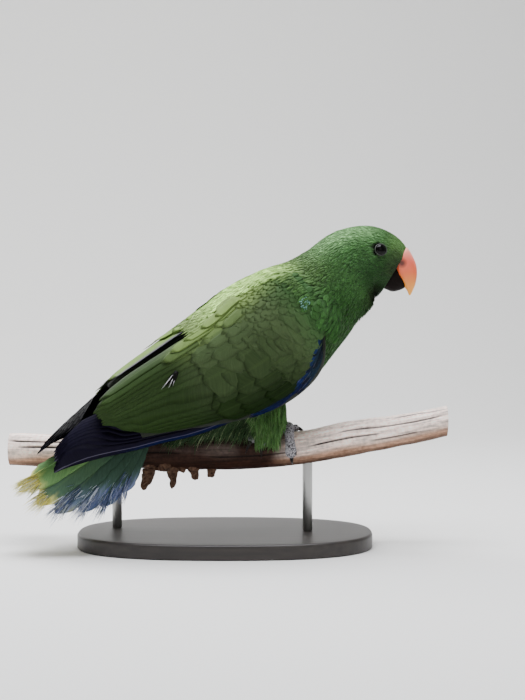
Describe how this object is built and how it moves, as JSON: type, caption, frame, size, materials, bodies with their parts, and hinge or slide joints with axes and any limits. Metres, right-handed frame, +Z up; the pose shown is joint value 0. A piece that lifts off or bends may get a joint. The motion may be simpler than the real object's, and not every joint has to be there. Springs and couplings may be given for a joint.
{
  "type": "eclectus parrot on a perch",
  "caption": "Life-size still model of a green male eclectus parrot leaning forward on a cut branch, held up by a plain display stand.",
  "frame": {"origin": "centre of the flat underside of the stand's base, on the surface that it stands on", "axes": "+X is the way the bird faces, along the branch; its right side faces -Y; +Z is up"},
  "size_m": [0.3562, 0.15, 0.2564],
  "materials": {
    "torso": "matte",
    "neck": "matte",
    "head": "matte",
    "wing": "satin",
    "tail": "satin",
    "thigh": "matte",
    "foot": "matte",
    "claw": "satin",
    "eye": "gloss",
    "upper_bill": "satin",
    "lower_bill": "satin",
    "perch": "matte",
    "stand_base": "satin",
    "stand_rod": "satin"
  },
  "bodies": {
    "root": {"torso": "torso", "neck": "neck", "head": "head", "wing_right": "wing", "wing_left": "wing", "tail": "tail", "thigh_right": "thigh", "thigh_left": "thigh", "foot_right": "foot", "foot_left": "foot", "claw_right_1": "claw", "claw_right_2": "claw", "claw_right_3": "claw", "claw_right_4": "claw", "claw_left_1": "claw", "claw_left_2": "claw", "claw_left_3": "claw", "claw_left_4": "claw", "eye_right": "eye", "eye_left": "eye", "upper_bill": "upper_bill", "lower_bill": "lower_bill", "perch": "perch", "stand_base": "stand_base", "stand_rod_front": "stand_rod", "stand_rod_rear": "stand_rod"}
  },
  "joints": []
}
